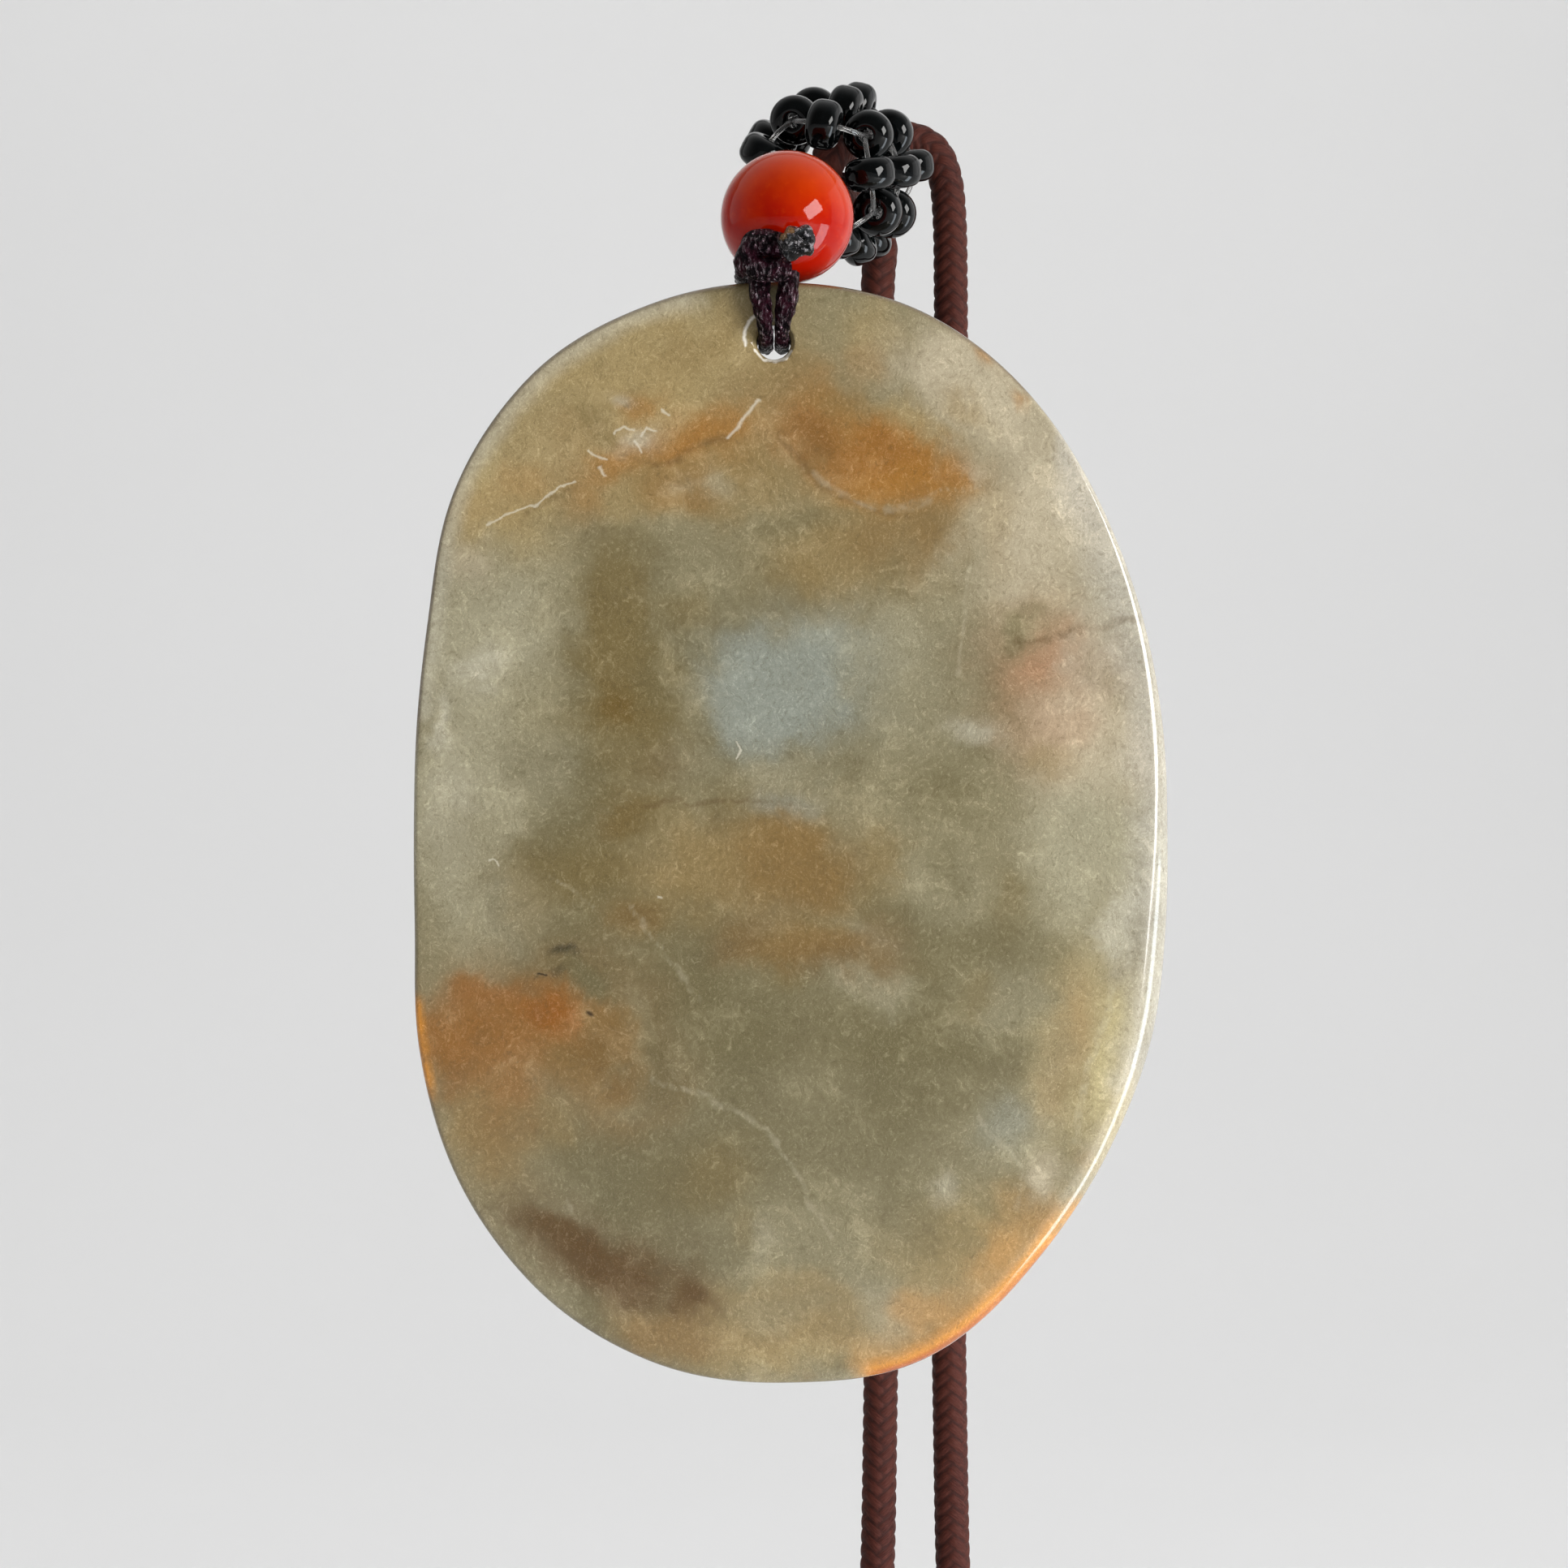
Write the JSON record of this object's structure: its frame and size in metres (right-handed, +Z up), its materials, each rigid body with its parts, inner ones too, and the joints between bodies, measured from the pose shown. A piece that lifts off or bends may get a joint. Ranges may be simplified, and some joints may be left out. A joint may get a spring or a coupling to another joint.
{
  "type": "jade plaque pendant",
  "caption": "Flat oval jade plaque tied below a round red bead and a woven bail of black seed beads, on a braided neck cord closed by a sliding knot",
  "frame": {"origin": "the middle of the beaded bail, where the pendant hangs", "axes": "+Z is up along the plaque's height, the plaque's front faces -Y and +X is to its right as seen from the front"},
  "size_m": [0.0489, 0.0264, 0.1944],
  "materials": {
    "jade": "gloss",
    "carnelian": "gloss",
    "black_glass": "gloss",
    "tie_cord": "satin",
    "melted_cord": "gloss",
    "neck_cord": "satin",
    "thread": "gloss"
  },
  "bodies": {
    "root": {"jade_plaque": "jade", "red_bead": "carnelian", "tie_left": "tie_cord", "tie_right": "tie_cord", "tie_knot": "tie_cord", "tie_melted_end": "melted_cord", "cord_bight": "neck_cord", "neck_cord": "neck_cord", "slide_knot": "neck_cord", "bail_bead_1_1": "black_glass", "bail_bead_1_2": "black_glass", "bail_bead_1_3": "black_glass", "bail_bead_1_4": "black_glass", "bail_bead_1_5": "black_glass", "bail_bead_2_1": "black_glass", "bail_bead_2_2": "black_glass", "bail_bead_2_3": "black_glass", "bail_bead_2_4": "black_glass", "bail_bead_2_5": "black_glass", "bail_bead_3_1": "black_glass", "bail_bead_3_2": "black_glass", "bail_bead_3_3": "black_glass", "bail_bead_3_4": "black_glass", "bail_bead_3_5": "black_glass", "bail_bead_4_1": "black_glass", "bail_bead_4_2": "black_glass", "bail_bead_4_3": "black_glass", "bail_bead_4_4": "black_glass", "bail_bead_4_5": "black_glass", "bail_bead_5_1": "black_glass", "bail_bead_5_2": "black_glass", "bail_bead_5_3": "black_glass", "bail_bead_5_4": "black_glass", "bail_bead_5_5": "black_glass"}
  },
  "joints": []
}
